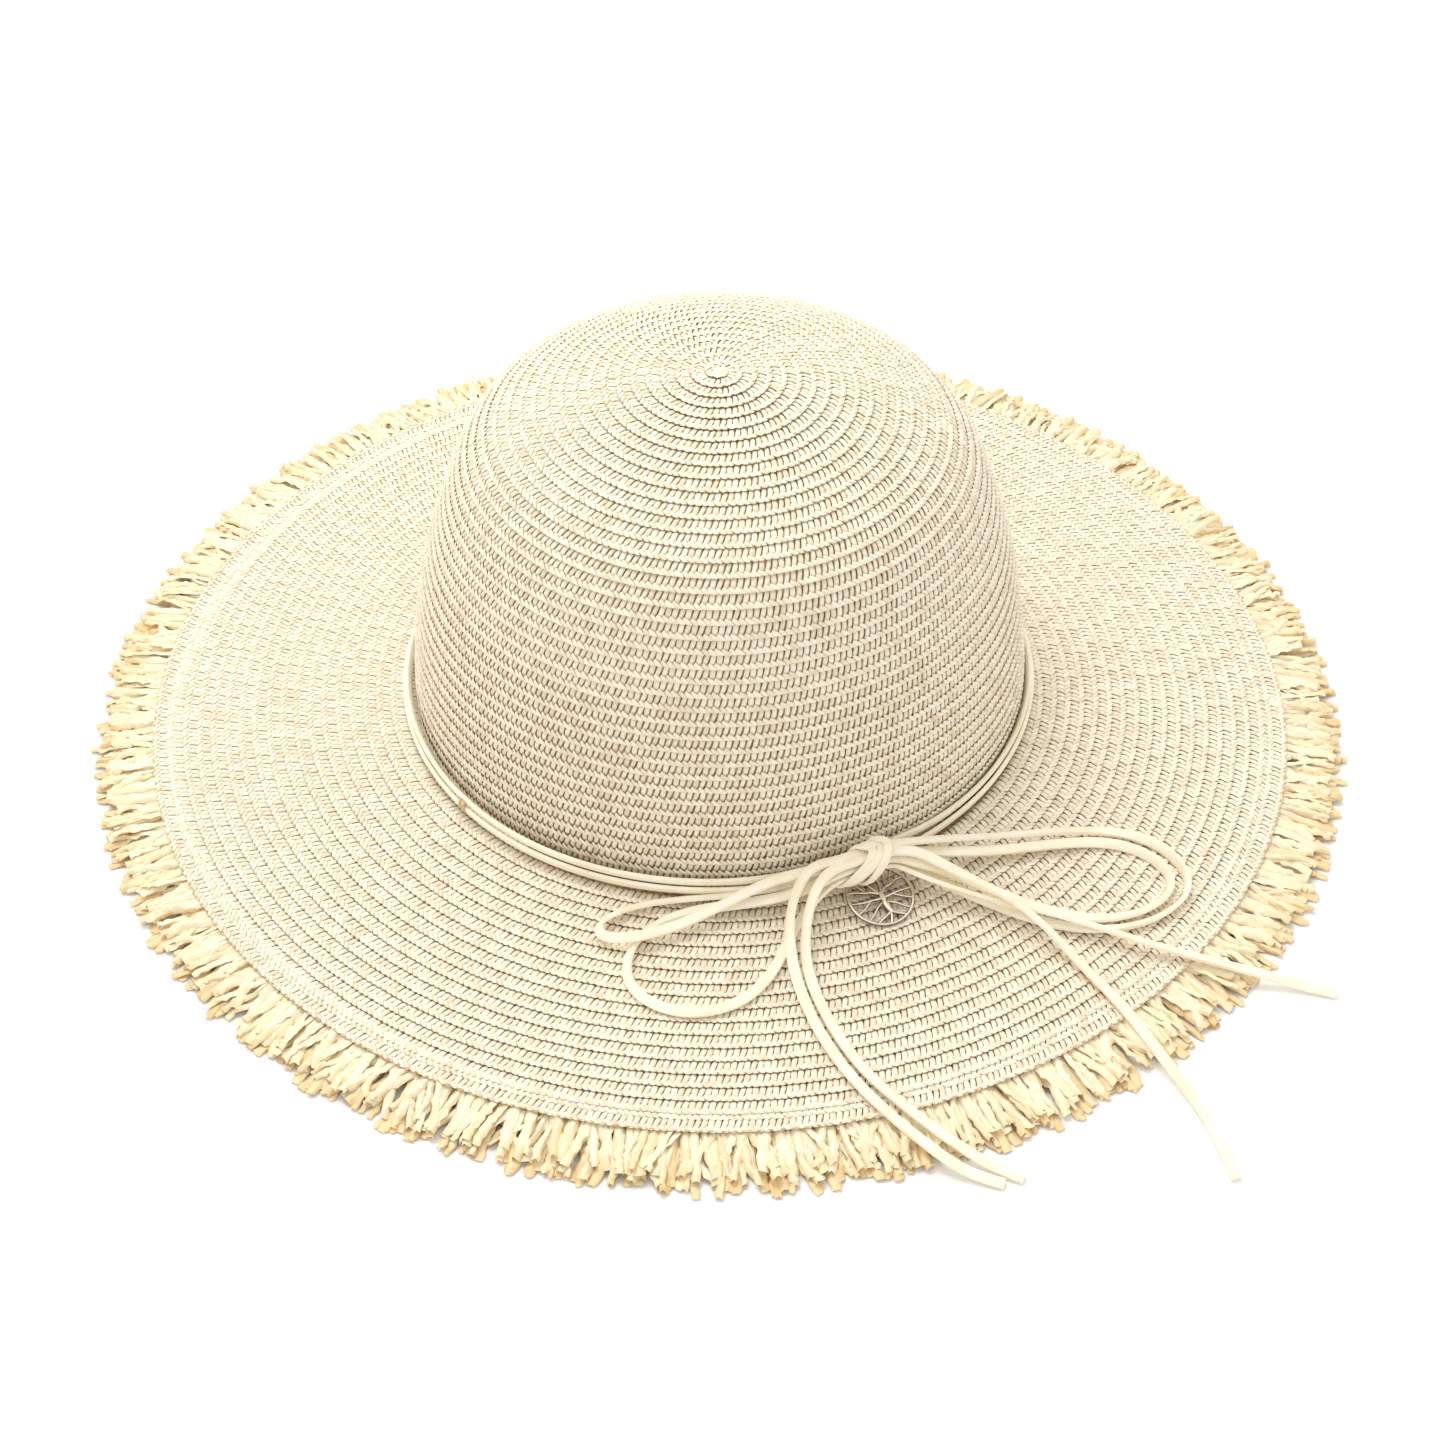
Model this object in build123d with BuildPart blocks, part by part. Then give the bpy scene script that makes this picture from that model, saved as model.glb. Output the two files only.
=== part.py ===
"""Straw sun hat: a sewn braid crown and brim, a raffia fringe, two laces tied in a bow and a tree charm.

The hat lies on its brim. The origin is on the crown's axis, at the level that the fringe rests on, and
+Z points up through the crown. All sizes are in millimetres.
"""
import os
from math import cos, pi, radians, sin, tan

from build123d import *

# ---- driving dimensions ----
braid_thickness = 2.2        # two sewn rows of paper braid, one over the other
crown_base_radius = 95.0     # outside of the crown, where it meets the brim
crown_top_height = 133.0
crease_height = 16.3         # level of the seam between the crown and the brim
crown_side_bulge = 220.0     # radius of the long curve up the crown's side
crown_top_bulge = 130.0      # radius of the shallow dome
crown_shoulder_radius = 35.0
tip_seam_height = 115.0      # the flat-worked tip ends here, and the shoulder rows begin
shoulder_seam_height = 75.0  # the shoulder rows end here, and the side rows begin

brim_edge_radius = 178.4     # the last sewn row ends here
edge_row_width = 4.6
brim_drop_per_mm = 0.1325    # the brim falls this much for each millimetre outwards
fringe_radius = 196.0
fringe_foot_width = 7.0      # the part of the fringe that rests on the table
fringe_tip_thickness = 2.2

sweatband_radius = 90.3      # inside of the ribbon, a 57 cm head
sweatband_thickness = 0.6
sweatband_height = 25.0
thread_diameter = 0.6

lace_diameter = 2.4          # a round cord with the same section area as the flat 3.2 x 1.5 lace
band_radius = 97.2
band_lower_height = 18.8
band_upper_height = 23.0

knot_azimuth = -66.3         # degrees round the crown
knot_radius = 103.1
knot_height = 26.8
knot_half_length = 5.2
lace_pitch = 2.5             # between the strands that enter the knot
wrap_width = 3.2
wrap_thickness = 1.5
wrap_gap = 0.1

charm_azimuth = -64.5
charm_radius = 10.0
charm_thickness = 1.0
charm_rim_width = 0.8
charm_tilt = 14.5            # degrees, a little steeper than the brim
ring_radius = 2.3            # jump ring, to the middle of its wire
ring_wire_radius = 0.4
ring_offset = 0.6            # the lace lies this far from the middle of the ring
rim_offset = 1.3             # and the charm's rim this far on the other side

os.makedirs("parts", exist_ok=True)


def save(piece, name):
    """Label one finished piece and write it as the node of that name."""
    piece.part.label = name
    export_step(piece.part, f"parts/{name}.step")


def brim_top(radius):
    """Height of the brim's upper face at this distance from the crown's axis."""
    return crease_height - (radius - crown_base_radius) * brim_drop_per_mm


def ring_of(profile_points):
    """A ring turned about the crown's axis from a profile of radius and height pairs."""
    with BuildPart() as ring:
        with BuildSketch(Plane.XZ):
            with BuildLine():
                Polyline(*profile_points, close=True)
            make_face()
        revolve(axis=Axis.Z)
    return ring


# ---- crown: one dome of sewn rows, parted at the seams of its tip, shoulder and side ----
def crown_body(inset):
    """The solid inside the crown's outer face, or inside its inner face when inset is the thickness."""
    base_radius = crown_base_radius - inset
    top = crown_top_height - inset
    side_radius = crown_side_bulge - inset
    side_centre = (crown_base_radius - crown_side_bulge, crease_height)
    dome_centre_height = crown_top_height - crown_top_bulge
    dome_radius = crown_top_bulge - inset

    # where the side's curve meets the dome's
    gap_x, gap_z = -side_centre[0], dome_centre_height - side_centre[1]
    gap = (gap_x**2 + gap_z**2) ** 0.5
    along = (side_radius**2 - dome_radius**2 + gap**2) / (2 * gap)
    across = (side_radius**2 - along**2) ** 0.5
    corner = (
        side_centre[0] + (along * gap_x - across * gap_z) / gap,
        side_centre[1] + (along * gap_z + across * gap_x) / gap,
    )
    with BuildPart() as body:
        with BuildSketch(Plane.XZ) as outline:
            with BuildLine():
                RadiusArc((base_radius, crease_height), corner, -side_radius)
                RadiusArc(corner, (0, top), -dome_radius)
                Line((0, top), (0, crease_height))
                Line((0, crease_height), (base_radius, crease_height))
            make_face()
            shoulder = outline.vertices().sort_by_distance(corner)[0]
            fillet(shoulder, crown_shoulder_radius - inset)
        revolve(axis=Axis.Z)
    return body.part


outer_body = crown_body(0)
inner_body = crown_body(braid_thickness)

with BuildPart() as crown_tip_braid:
    add(outer_body)
    add(inner_body, mode=Mode.SUBTRACT)
    split(bisect_by=Plane.XY.offset(tip_seam_height), keep=Keep.TOP)
save(crown_tip_braid, "crown_tip_braid")

with BuildPart() as crown_shoulder_braid:
    add(outer_body)
    add(inner_body, mode=Mode.SUBTRACT)
    split(bisect_by=Plane.XY.offset(tip_seam_height), keep=Keep.BOTTOM)
    split(bisect_by=Plane.XY.offset(shoulder_seam_height), keep=Keep.TOP)
save(crown_shoulder_braid, "crown_shoulder_braid")

with BuildPart() as crown_side_braid:
    add(outer_body)
    add(inner_body, mode=Mode.SUBTRACT)
    split(bisect_by=Plane.XY.offset(shoulder_seam_height), keep=Keep.BOTTOM)
save(crown_side_braid, "crown_side_braid")

# ---- brim: a shallow cone with a level margin that the crown stands on ----
row_start = brim_edge_radius - edge_row_width
margin_radius = crown_base_radius - braid_thickness
brim_braid = ring_of([
    (margin_radius, crease_height),
    (crown_base_radius, crease_height),
    (row_start - 0.1, brim_top(row_start - 0.1)),
    (row_start - 0.1, brim_top(row_start - 0.1) - braid_thickness),
    (crown_base_radius, crease_height - braid_thickness),
    (margin_radius, crease_height - braid_thickness),
])
save(brim_braid, "brim_braid")

# the last row is single, and holds the fringe's root under it
edge_row_thickness = braid_thickness / 2
brim_edge_braid = ring_of([
    (row_start, brim_top(row_start)),
    (brim_edge_radius, brim_top(brim_edge_radius)),
    (brim_edge_radius, brim_top(brim_edge_radius) - edge_row_thickness),
    (row_start, brim_top(row_start) - edge_row_thickness),
])
save(brim_edge_braid, "brim_edge_braid")

# ---- fringe: cut raffia, from its root under the last row out to the tips that rest on the table ----
root_radius = row_start + 0.6
root_clearance = edge_row_thickness + 0.1
raffia_fringe = ring_of([
    (root_radius, brim_top(root_radius) - root_clearance),
    (brim_edge_radius + 0.3, brim_top(brim_edge_radius) - root_clearance),
    (brim_edge_radius + 1.6, brim_top(brim_edge_radius) - 0.8),
    (fringe_radius, fringe_tip_thickness),
    (fringe_radius, 0),
    (fringe_radius - fringe_foot_width, 0),
    (root_radius, brim_top(root_radius) - root_clearance - 1.4),
])
save(raffia_fringe, "raffia_fringe")

# the line of stitches that holds the fringe
stitch_radius = brim_edge_radius - 0.8
with BuildPart() as brim_edge_thread:
    with BuildSketch(Plane.XZ):
        with Locations((stitch_radius, brim_top(stitch_radius) + thread_diameter / 2 + 0.02)):
            Circle(thread_diameter / 2)
    revolve(axis=Axis.Z)
save(brim_edge_thread, "brim_edge_thread")

# ---- sweatband: a ribbon ring inside the foot of the crown, and the thread that holds it ----
sweatband_foot = crease_height + 1.2
with BuildPart() as sweatband:
    with BuildSketch(Plane.XY.offset(sweatband_foot)):
        Circle(sweatband_radius + sweatband_thickness)
        Circle(sweatband_radius, mode=Mode.SUBTRACT)
    extrude(amount=sweatband_height)
save(sweatband, "sweatband")

seam_radius = sweatband_radius + sweatband_thickness + 0.95
with BuildPart() as sweatband_thread:
    with BuildSketch(Plane.XZ):
        with Locations((seam_radius, sweatband_foot + 2)):
            Circle(thread_diameter / 2)
    revolve(axis=Axis.Z)
save(sweatband_thread, "sweatband_thread")

# ---- hat band: two laces side by side round the foot of the crown ----
for name, height in (("band_lace_lower", band_lower_height), ("band_lace_upper", band_upper_height)):
    with BuildPart() as band_lace:
        with BuildSketch(Plane.XZ):
            with Locations((band_radius, height)):
                Circle(lace_diameter / 2)
        revolve(axis=Axis.Z)
    save(band_lace, name)

# a bar tack of thread between the two laces ties them to the crown
tack_azimuth = radians(-140.0)
tack_clearance = 0.1
tack_length = 4.0
tack_width = 1.2
tack_depth = 3.4
tack_direction = Vector(cos(tack_azimuth), sin(tack_azimuth), 0)
tack_height = (band_lower_height + band_upper_height) / 2
tack_plane = Plane(
    origin=tack_direction * (crown_base_radius + tack_clearance) + Vector(0, 0, tack_height),
    x_dir=(-tack_direction.Y, tack_direction.X, 0),
    z_dir=tack_direction,
)
with BuildPart() as band_tack:
    with BuildSketch(tack_plane):
        SlotOverall(tack_length, tack_width)
    extrude(amount=tack_depth)
save(band_tack, "band_tack")

# ---- knot: the strands gathered in a core, with three flat turns of lace round it ----
# the knot's plane: x outwards from the crown, y down, z along the strands
knot_direction = Vector(cos(radians(knot_azimuth)), sin(radians(knot_azimuth)), 0)
knot_centre = knot_direction * knot_radius + Vector(0, 0, knot_height)
strand_direction = Vector(-knot_direction.Y, knot_direction.X, 0)
knot_plane = Plane(origin=knot_centre, x_dir=knot_direction, z_dir=strand_direction)
core_depth = 2 * lace_pitch
core_height = 3 * lace_pitch

with BuildPart() as bow_knot_core:
    with BuildSketch(knot_plane):
        RectangleRounded(core_depth, core_height, lace_diameter / 2)
    extrude(amount=knot_half_length, both=True)
save(bow_knot_core, "bow_knot_core")

wrap_inner_depth = core_depth + 2 * wrap_gap
wrap_inner_height = core_height + 2 * wrap_gap
wrap_step = wrap_width + wrap_gap
for name, turn in (("bow_knot_wrap_left", -1), ("bow_knot_wrap_middle", 0), ("bow_knot_collar", 1)):
    with BuildPart() as wrap:
        with BuildSketch(knot_plane.offset(turn * wrap_step)):
            RectangleRounded(
                wrap_inner_depth + 2 * wrap_thickness,
                wrap_inner_height + 2 * wrap_thickness,
                lace_diameter / 2 + wrap_gap + wrap_thickness,
            )
            RectangleRounded(
                wrap_inner_depth, wrap_inner_height, lace_diameter / 2 + wrap_gap, mode=Mode.SUBTRACT
            )
        extrude(amount=wrap_width / 2, both=True)
    save(wrap, name)

# ---- loops and tails: laces that lie free on the brim ----
# each route starts square on the end of the knot's core
lace_routes = {
    "bow_loop_left_upper": [
        (36.16, -95.4, 24.3), (33.2, -96.7, 24.3), (28, -97.8, 23.4), (19, -98.8, 21.2), (6, -100.1, 19),
        (-8, -100.3, 17.7), (-21, -101.5, 17), (-30.5, -105.2, 16.6), (-35.5, -110, 16.4), (-33.5, -115.3, 17),
        (-25, -116, 17.6), (-13.5, -111.8, 17.4), (-2.5, -107, 19.4), (7.5, -102.8, 22.6), (15, -100.6, 25.2),
        (22, -99.3, 26.6), (28.3, -98, 27.1), (33.2, -96.7, 26.8), (36.16, -95.4, 26.8),
    ],
    "bow_loop_left_lower": [
        (37.19, -97.7, 26.8), (34.2, -99, 26.8), (28.6, -101.4, 24.8), (20, -102.8, 21.4), (7, -103.4, 18.6),
        (-6.5, -103.8, 16.8), (-16.5, -107.2, 16), (-23.5, -113.2, 14.7), (-26.8, -121, 13.9),
        (-26, -129.5, 12.8), (-19.5, -136.5, 12), (-8.5, -140, 11.7), (3.5, -137.5, 12.1), (12, -130.5, 12.9),
        (17.6, -120.8, 14.2), (20.5, -112.5, 15.2), (24.6, -105.8, 17.4), (29.6, -101.2, 21.3),
        (34.2, -99, 24.3), (37.19, -97.7, 24.3),
    ],
    "bow_tail_left_inner": [
        (36.16, -95.4, 29.3), (33.2, -96.7, 29.3), (29.3, -98.2, 30), (25, -100.6, 28.9), (21.8, -105, 25),
        (20.2, -110.5, 21.4), (20, -117, 17.9), (21.2, -126, 14.6), (24.2, -136.5, 12.4), (29, -148, 10.5),
        (36.5, -160.5, 8.6), (45.5, -171.5, 7.4), (54.5, -180.3, 6), (62, -186.5, 4.3), (70, -190.2, 1.7),
        (77.5, -192.5, 1.3),
    ],
    "bow_tail_left_outer": [
        (37.19, -97.7, 29.3), (34.4, -98.9, 29.3), (30.8, -101.4, 28.9), (27.3, -105.2, 25.8), (25.2, -110.8, 21),
        (24.4, -117.5, 16.7), (25.2, -126, 14), (28, -135.5, 12.3), (33, -147, 10.7), (40.2, -158.5, 8.8),
        (49.5, -168.6, 7.6), (59.2, -177.2, 5.9), (67, -183, 4.5), (75.2, -187.6, 1.8), (83, -190.5, 1.3),
    ],
    "bow_loop_right_outer": [
        (45.73, -91.21, 29.3), (49, -89.8, 29.3), (56, -87, 27.9), (67, -82.4, 24.6), (80, -77.6, 20.6),
        (97, -72, 17), (113, -68.3, 13.9), (124, -68.2, 11.7), (132.5, -72, 10.4), (138, -79.5, 9.2),
        (138.8, -88, 8.6), (133, -96, 8.6), (122.5, -102.8, 9), (108, -106.2, 10.3), (92, -104, 12.2),
        (78, -98.6, 14.4), (66, -94.2, 17.6), (56, -91.2, 21.9), (49, -89.8, 24.3), (45.73, -91.21, 24.3),
    ],
    "bow_loop_right_inner": [
        (45.73, -91.21, 26.8), (49, -89.8, 26.8), (56, -87.8, 24.6), (67, -84.7, 21.2), (82, -80.4, 17.4),
        (99, -75.2, 15), (114, -71.8, 12.7), (125, -73.6, 11), (132, -79.5, 9.9), (134, -87, 9.2),
        (129, -94.4, 9.2), (119.5, -99.8, 9.8), (107.5, -102.4, 11.2), (92.5, -100.2, 13.5), (78, -95.6, 17),
        (66, -92.4, 21), (56.5, -92.3, 25), (50, -92, 26.8), (46.74, -93.5, 26.8),
    ],
    "bow_tail_right_far": [
        (46.74, -93.5, 24.3), (50, -92.1, 24.3), (56.4, -95.2, 22.9), (67, -98, 20), (83, -101.2, 16.6),
        (103, -105, 14), (124, -111.2, 10.2), (143.5, -115.2, 6.6), (156, -117.5, 4.5), (167, -119.4, 1.7),
        (178, -122.5, 1.3),
    ],
    "bow_tail_right_near": [
        (46.74, -93.5, 29.3), (50, -92.1, 29.3), (57, -91.2, 28.1), (64, -92.8, 25), (73, -97, 22.4),
        (83.5, -101.8, 20.2), (93.5, -108.4, 15.6), (103.5, -118.5, 9.9), (113.5, -131, 7.7),
        (121, -143.5, 6), (126.5, -153.5, 4.4), (132.3, -162, 1.6), (137.8, -176, 1.4), (140.7, -190.5, 1.3),
    ],
}


def arc_radii(route):
    """The largest tangent arc that each corner of a route has room for."""
    points = [Vector(*point) for point in route]
    radii = []
    for before, corner, after in zip(points, points[1:], points[2:]):
        turn = radians((corner - before).get_angle(after - corner))
        shorter = min((corner - before).length, (after - corner).length)
        radii.append(0.45 * shorter / tan(turn / 2))
    return radii


for name, route in lace_routes.items():
    radii = arc_radii(route)
    with BuildPart() as lace:
        with BuildLine():
            centre_line = FilletPolyline(*route, radius=radii)
        with BuildSketch(Plane(origin=centre_line @ 0, z_dir=centre_line % 0)):
            Circle(lace_diameter / 2)
        sweep()
        length = centre_line.length
        swept_share = lace.part.volume / (pi * (lace_diameter / 2) ** 2 * length)
    save(lace, name)
    print(f"{name}: {length:.1f} mm long, volume / (section x length) {swept_share:.4f}")
    print("   arc radii", [round(radius, 1) for radius in radii])

# ---- jump ring: round the lower lace of the band, and through the charm's rim ----
charm_direction = Vector(cos(radians(charm_azimuth)), sin(radians(charm_azimuth)), 0)
sideways = Vector(-charm_direction.Y, charm_direction.X, 0)
ring_centre = charm_direction * (band_radius + ring_offset) + Vector(0, 0, band_lower_height)
ring_plane = Plane(origin=ring_centre, x_dir=charm_direction, z_dir=sideways)
with BuildPart() as jump_ring:
    with BuildLine(ring_plane):
        CenterArc((0, 0), ring_radius, 0, 360)
    with BuildSketch(Plane(origin=ring_plane.from_local_coords((ring_radius, 0, 0)), z_dir=ring_plane.y_dir)):
        Circle(ring_wire_radius)
    sweep()
save(jump_ring, "jump_ring")

# ---- charm: a round rim with a branching tree in it ----
tilt = radians(charm_tilt)
rim_point = charm_direction * (band_radius + ring_offset + rim_offset) + Vector(0, 0, band_lower_height)
down_slope = charm_direction * cos(tilt) - Vector(0, 0, sin(tilt))
charm_normal = charm_direction * sin(tilt) + Vector(0, 0, cos(tilt))
rim_radius = charm_radius - charm_rim_width / 2
# the charm's plane: x to its right, y towards the ring, z up from the brim
charm_plane = Plane(origin=rim_point + down_slope * rim_radius, x_dir=sideways, z_dir=charm_normal)
trunk = [(0.6, -6.4), (0.0, -3.2), (0.4, 0.2)]
limbs = [
    [(0.4, 0.2), (-2.6, 2.6), (-6.4, 3.4)],
    [(-2.6, 2.6), (-3.4, 5.6), (-5.0, 7.6)],
    [(0.4, 0.2), (3.0, 2.8), (6.8, 3.2)],
    [(3.0, 2.8), (3.6, 5.8), (5.2, 7.4)],
    [(0.0, -1.4), (-4.0, -0.4), (-9.2, 0.6)],
    [(0.2, -1.2), (4.4, -0.8), (9.2, 0.2)],
    [(0.6, -6.0), (-2.4, -7.4), (-4.6, -8.2)],
    [(0.6, -6.0), (2.8, -7.6), (4.4, -8.3)],
    [(-6.4, 3.4), (-8.0, 4.6)],
    [(6.8, 3.2), (8.2, 4.2)],
    [(-4.0, -0.4), (-6.0, -3.2), (-8.2, -4.4)],
    [(4.4, -0.8), (6.4, -3.0), (8.6, -3.6)],
]
bar_width = 0.9
with BuildPart() as tree_charm:
    with BuildSketch(charm_plane):
        Circle(charm_radius)
        Circle(charm_radius - charm_rim_width, mode=Mode.SUBTRACT)
    extrude(amount=charm_thickness / 2, both=True)
    with BuildSketch(charm_plane):
        with BuildLine():
            Polyline(*trunk)
        trace(line_width=2 * bar_width)
    extrude(amount=charm_thickness / 2, both=True)
    for limb in limbs:
        with BuildSketch(charm_plane):
            with BuildLine():
                Polyline(*limb)
            trace(line_width=bar_width)
        extrude(amount=0.4 * charm_thickness, both=True)
save(tree_charm, "tree_charm")
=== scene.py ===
import math
import random

import bpy
from mathutils import Matrix, Vector


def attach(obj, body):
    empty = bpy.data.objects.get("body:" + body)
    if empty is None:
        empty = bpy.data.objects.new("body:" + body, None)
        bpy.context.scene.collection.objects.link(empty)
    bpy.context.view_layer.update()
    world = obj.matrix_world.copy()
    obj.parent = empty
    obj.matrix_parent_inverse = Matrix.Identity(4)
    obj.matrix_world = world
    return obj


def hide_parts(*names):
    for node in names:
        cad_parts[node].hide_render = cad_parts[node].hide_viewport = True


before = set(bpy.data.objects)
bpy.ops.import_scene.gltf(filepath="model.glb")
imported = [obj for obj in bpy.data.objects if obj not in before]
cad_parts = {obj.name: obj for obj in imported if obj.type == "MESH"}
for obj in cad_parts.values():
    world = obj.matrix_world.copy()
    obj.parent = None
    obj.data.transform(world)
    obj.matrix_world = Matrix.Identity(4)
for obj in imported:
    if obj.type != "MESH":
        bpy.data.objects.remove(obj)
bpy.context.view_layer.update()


# ---- Camera, light and floor ----
# The hat lies on a white painted table in a bright white room, under one wide soft light that hangs behind it
# and to the left. It is seen from the front and well above.
camera_place, camera_tilt = (0.0, -0.731, 0.667), math.radians(47.4)
light_place, light_turn = (-0.45, 0.5, 1.5), (math.radians(-20), math.radians(-17), 0)
room_colour, room_strength = (1.0, 0.99, 0.97, 1.0), 0.93

bpy.ops.object.camera_add(location=camera_place, rotation=(camera_tilt, 0, 0))
camera = bpy.context.object
camera.name = "table_camera"
camera.data.lens = 77.6
camera.data.sensor_width = 36.0
camera.data.shift_x = 0.002
bpy.context.scene.camera = camera

bpy.ops.object.light_add(type="AREA", location=light_place, rotation=light_turn)
softbox = bpy.context.object
softbox.name = "softbox"
softbox.data.shape = "RECTANGLE"
softbox.data.size = 1.0
softbox.data.size_y = 0.8
softbox.data.energy = 13.0
softbox.data.color = (1.0, 0.985, 0.955)

bpy.ops.mesh.primitive_plane_add(size=9.0, location=(0, 1.0, 0))
floor = bpy.context.object
floor.name = "white_table"

world = bpy.data.worlds.new("white_studio")
world.use_nodes = True
room_light = world.node_tree.nodes["Background"]
room_light.inputs["Color"].default_value = room_colour
room_light.inputs["Strength"].default_value = room_strength
bpy.context.scene.world = world
bpy.context.scene.view_settings.view_transform = "Standard"


def shade(red, green, blue):
    """A colour for a shader, from the 0 to 255 values that a paint chart gives."""
    linear = []
    for value in (red, green, blue):
        part = value / 255
        linear.append(part / 12.92 if part <= 0.04045 else ((part + 0.055) / 1.055) ** 2.4)
    return (*linear, 1.0)


def new_finish(name, roughness, **sockets):
    """A material with one Principled shader, and its plain values set on the shader's own sockets."""
    finish = bpy.data.materials.new(name)
    finish.use_nodes = True
    shader = finish.node_tree.nodes["Principled BSDF"]
    shader.inputs["Roughness"].default_value = roughness
    for socket, value in sockets.items():
        shader.inputs[socket.replace("_", " ")].default_value = value
    return finish, finish.node_tree, shader


table_paint, _, paint_shader = new_finish("white_table_paint", 0.9)
paint_shader.inputs["Base Color"].default_value = shade(252, 252, 251)
floor.data.materials.append(table_paint)


# ---- Paper straw ----
# Paper straw is a flat twisted strip with fine grain along its length. The warm tan along the long edges of
# each strip is painted shade where the strips meet, and no two strips are quite the same cream.
def add_node(tree, kind, values=None, **settings):
    """One shader node of this kind, with its settings and the values of its unlinked inputs."""
    node = tree.nodes.new("ShaderNode" + kind)
    for setting, value in settings.items():
        setattr(node, setting, value)
    for socket, value in (values or {}).items():
        node.inputs[socket].default_value = value
    return node


def ramp_colours(node, stops):
    """Give a Color Ramp these stops, each a position and a colour."""
    elements = node.color_ramp.elements
    while len(elements) < len(stops):
        elements.new(0.5)
    for element, (position, colour) in zip(elements, stops):
        element.position = position
        element.color = colour


def wire(tree, links):
    """Link nodes: each row is a node and its output, then the node and input that it goes to."""
    for giver, output, taker, target in links:
        tree.links.new(giver.outputs[output], taker.inputs[target])


def node_group(name, inputs, outputs):
    """A node group with these named sockets, each of a kind, and the two nodes that hold its ends."""
    group = bpy.data.node_groups.new(name, "ShaderNodeTree")
    for way, sockets in (("INPUT", inputs), ("OUTPUT", outputs)):
        for socket, kind in sockets.items():
            group.interface.new_socket(socket, in_out=way, socket_type="NodeSocket" + kind)
    return group, group.nodes.new("NodeGroupInput"), group.nodes.new("NodeGroupOutput")


edge_shade_and_grain, given, result = node_group(
    "strip_edge_shade_and_grain",
    {"Fineness": "Float", "Warmth": "Float", "Light Colour": "Color", "Warm Colour": "Color"},
    {"Colour": "Color", "Height": "Float"},
)
strip_map = add_node(edge_shade_and_grain, "UVMap", uv_map="UVMap")
geometry = add_node(edge_shade_and_grain, "NewGeometry")
apart = add_node(edge_shade_and_grain, "Math", {1: 37.0}, operation="MULTIPLY")
shifted = add_node(edge_shade_and_grain, "VectorMath", operation="ADD")
stretch = add_node(edge_shade_and_grain, "CombineXYZ", {"X": 1.6, "Z": 1.0})
streak_place = add_node(edge_shade_and_grain, "VectorMath", operation="MULTIPLY")
streaks = add_node(edge_shade_and_grain, "TexNoise", {"Scale": 1.0, "Detail": 3.0, "Roughness": 0.6})
split_uv = add_node(edge_shade_and_grain, "SeparateXYZ")
from_middle = add_node(edge_shade_and_grain, "Math", {1: 0.5}, operation="SUBTRACT")
to_edge = add_node(edge_shade_and_grain, "Math", operation="ABSOLUTE")
# the warm colour along the long edges of each strip is painted shade where the strips meet
edge_shade_mask = add_node(edge_shade_and_grain, "MapRange", {1: 0.3, 2: 0.5, 3: 0.0, 4: 1.0})
streak_mask = add_node(edge_shade_and_grain, "MapRange", {1: 0.42, 2: 0.75, 3: 0.0, 4: 0.55})
own_mask = add_node(edge_shade_and_grain, "MapRange", {1: 0.3, 2: 1.0, 3: 0.0, 4: 0.6})
add_streak = add_node(edge_shade_and_grain, "Math", operation="ADD")
add_own = add_node(edge_shade_and_grain, "Math", operation="ADD")
scaled = add_node(edge_shade_and_grain, "Math", operation="MULTIPLY", use_clamp=True)
tint = add_node(edge_shade_and_grain, "Mix", data_type="RGBA")
wire(edge_shade_and_grain, (
    (geometry, "Random Per Island", apart, 0),
    (strip_map, "UV", shifted, 0),
    (apart, 0, shifted, 1),
    (given, "Fineness", stretch, "Y"),
    (shifted, 0, streak_place, 0),
    (stretch, 0, streak_place, 1),
    (streak_place, 0, streaks, "Vector"),
    (strip_map, "UV", split_uv, 0),
    (split_uv, "Y", from_middle, 0),
    (from_middle, 0, to_edge, 0),
    (to_edge, 0, edge_shade_mask, 0),
    (streaks, "Fac", streak_mask, 0),
    (geometry, "Random Per Island", own_mask, 0),
    (edge_shade_mask, 0, add_streak, 0),
    (streak_mask, 0, add_streak, 1),
    (add_streak, 0, add_own, 0),
    (own_mask, 0, add_own, 1),
    (add_own, 0, scaled, 0),
    (given, "Warmth", scaled, 1),
    (scaled, 0, tint, "Factor"),
    (given, "Light Colour", tint, "A"),
    (given, "Warm Colour", tint, "B"),
    (tint, "Result", result, "Colour"),
    (streaks, "Fac", result, "Height"),
))
gloss_spread = 0.12


def strip_finish(name, light, warm, warmth, fineness, roughness, depth, **sockets):
    """A finish of grained strips: light in the middle of each, and warm along its edges with painted shade.
    """
    finish, tree, shader = new_finish(name, roughness, **sockets)
    pattern = add_node(tree, "Group", {
        "Fineness": fineness, "Warmth": warmth, "Light Colour": light, "Warm Colour": warm,
    }, node_tree=edge_shade_and_grain)
    relief = add_node(tree, "Bump", {"Strength": 0.5, "Distance": depth})
    gloss = add_node(tree, "MapRange", {3: roughness - gloss_spread, 4: roughness + gloss_spread})
    wire(tree, (
        (pattern, "Colour", shader, "Base Color"),
        (pattern, "Height", relief, "Height"),
        (relief, "Normal", shader, "Normal"),
        (pattern, "Height", gloss, "Value"),
        (gloss, "Result", shader, "Roughness"),
    ))
    return finish


straw = strip_finish(
    "paper_straw", shade(252, 245, 226), shade(206, 176, 126), 0.5, 9.0, 0.55, 0.00012,
    Specular_IOR_Level=0.4, Sheen_Weight=0.08, Sheen_Roughness=0.4,
)

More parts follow.
